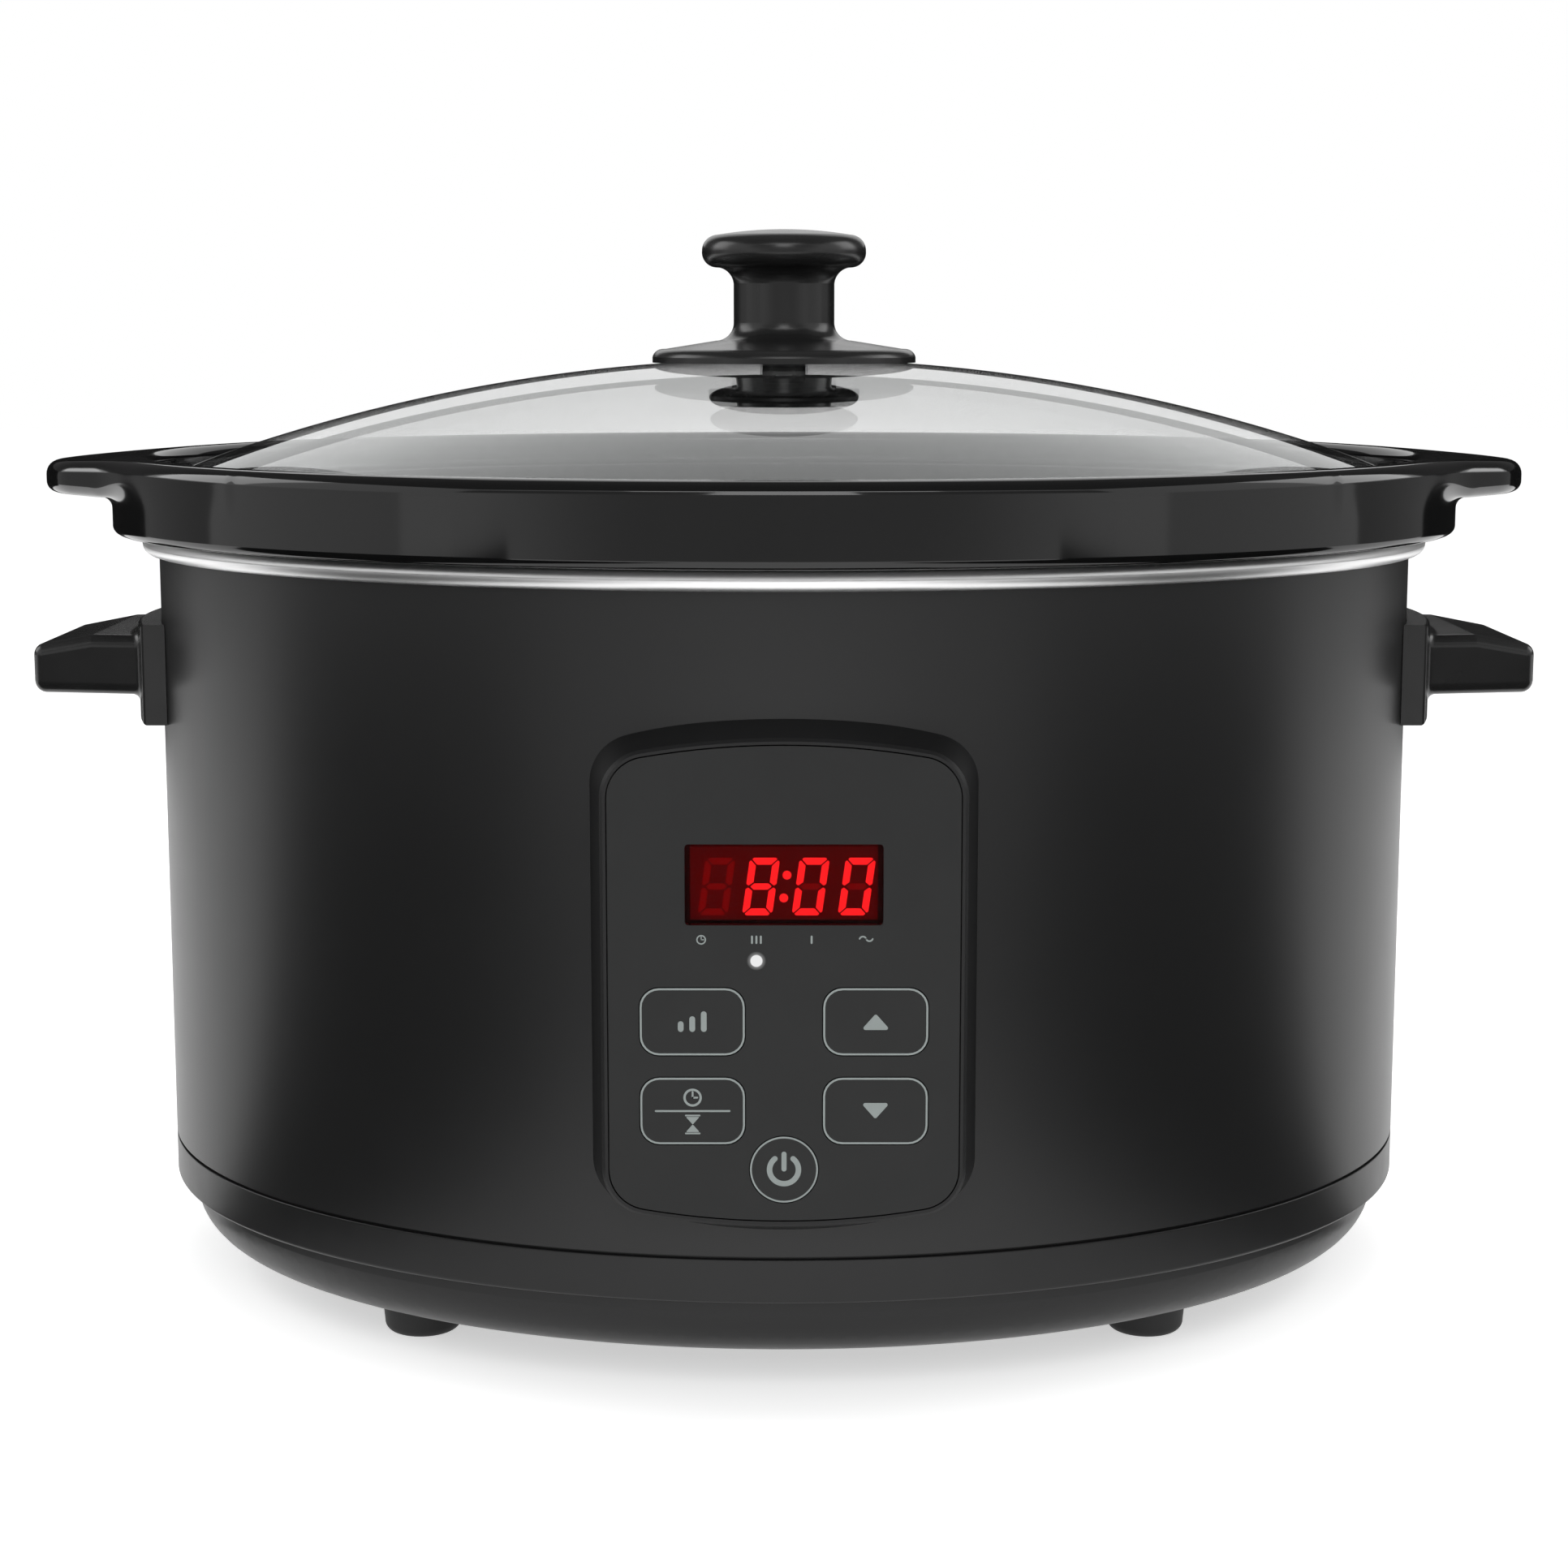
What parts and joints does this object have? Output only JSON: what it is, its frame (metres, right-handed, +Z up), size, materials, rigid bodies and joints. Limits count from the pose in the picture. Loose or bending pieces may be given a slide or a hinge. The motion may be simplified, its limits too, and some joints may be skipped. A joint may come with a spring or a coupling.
{
  "type": "slow cooker",
  "caption": "Oval slow cooker with a lift-out stoneware crock, domed glass lid, side handles and a front panel of press keys under a lit clock display.",
  "frame": {"origin": "on the worktop, under the middle of the cooker", "axes": "+X to the right side handle, -Y out of the control panel, +Z up"},
  "size_m": [0.3762, 0.2868, 0.2641],
  "materials": {
    "shell_paint": "satin black paint on steel",
    "rim_steel": "polished rolled rim, plain sheet below",
    "heater_tape": "woven glass tape over a resistance wire",
    "bracket_steel": "plain zinc-plated sheet",
    "base_plastic": "satin black moulding",
    "handle_plastic": "semi-gloss black heat-proof moulding",
    "foot_rubber": "black rubber",
    "seal_silicone": "dark silicone",
    "fastener_steel": "zinc-plated steel",
    "probe_metal": "drawn aluminium can",
    "panel_plastic": "satin black bezel",
    "plate_film": "dark grey satin film with grey print",
    "window_red": "dark red lens",
    "display_black": "four-digit display block",
    "lamp_clear": "clear lamp bodies",
    "circuit_board": "green circuit board",
    "component_black": "moulded components",
    "wire_cover": "heat-proof wire cover",
    "gland_plastic": "black nylon",
    "stoneware": "black glazed stoneware",
    "lid_clear": "clear toughened glass"
  },
  "bodies": {
    "cooker": {"outer_shell": "shell_paint", "heating_liner": "rim_steel", "heater_band": "heater_tape", "band_clamp": "bracket_steel", "sensor_strap": "bracket_steel", "fuse_strap": "bracket_steel", "bottom_heat_shield": "bracket_steel", "base_ring": "base_plastic", "bottom_cover": "base_plastic", "panel_tray": "base_plastic", "left_handle": "handle_plastic", "right_handle": "handle_plastic", "front_left_foot": "foot_rubber", "front_right_foot": "foot_rubber", "rear_left_foot": "foot_rubber", "rear_right_foot": "foot_rubber", "foot_screws": "fastener_steel", "tie_stud": "fastener_steel", "tie_nut": "fastener_steel", "tie_washer": "fastener_steel", "shield_nut": "fastener_steel", "handle_screws": "fastener_steel", "handle_washers": "fastener_steel", "panel_screws": "fastener_steel", "power_board_screws": "fastener_steel", "temperature_sensor": "probe_metal", "thermal_fuse": "probe_metal", "panel_frame": "panel_plastic", "panel_plate": "plate_film", "display_window": "window_red", "led_display": "display_black", "indicator_lamps": "lamp_clear", "control_board": "circuit_board", "power_board": "circuit_board", "tact_switches": "component_black", "power_relay": "component_black", "supply_module": "component_black", "filter_capacitor": "component_black", "terminal_block": "component_black", "panel_ribbon": "wire_cover", "heater_leads": "wire_cover", "cord_gland": "gland_plastic", "gland_nut": "gland_plastic"},
    "crock": {"crock": "stoneware"},
    "lid": {"lid_glass": "lid_clear", "knob": "handle_plastic", "knob_gasket": "seal_silicone", "knob_retainer": "handle_plastic", "knob_screw": "fastener_steel"},
    "mode_key": {"mode_key": "plate_film"},
    "timer_key": {"timer_key": "plate_film"},
    "up_key": {"up_key": "plate_film"},
    "down_key": {"down_key": "plate_film"},
    "power_key": {"power_key": "plate_film"}
  },
  "joints": [
    {"name": "crock_lift", "type": "slide", "parent": "cooker", "child": "crock", "axis": [0, 0, 1], "range_m": [0, 0.2]},
    {"name": "lid_lift", "type": "slide", "parent": "crock", "child": "lid", "axis": [0, 0, 1], "range_m": [0, 0.12]},
    {"name": "mode_press", "type": "slide", "parent": "cooker", "child": "mode_key", "axis": [0, 1, 0], "range_m": [0, 0.0005], "stiffness_N_per_m": 1200},
    {"name": "timer_press", "type": "slide", "parent": "cooker", "child": "timer_key", "axis": [0, 1, 0], "range_m": [0, 0.0005], "stiffness_N_per_m": 1200},
    {"name": "up_press", "type": "slide", "parent": "cooker", "child": "up_key", "axis": [0, 1, 0], "range_m": [0, 0.0005], "stiffness_N_per_m": 1200},
    {"name": "down_press", "type": "slide", "parent": "cooker", "child": "down_key", "axis": [0, 1, 0], "range_m": [0, 0.0005], "stiffness_N_per_m": 1200},
    {"name": "power_press", "type": "slide", "parent": "cooker", "child": "power_key", "axis": [0, 1, 0], "range_m": [0, 0.0005], "stiffness_N_per_m": 1200}
  ]
}
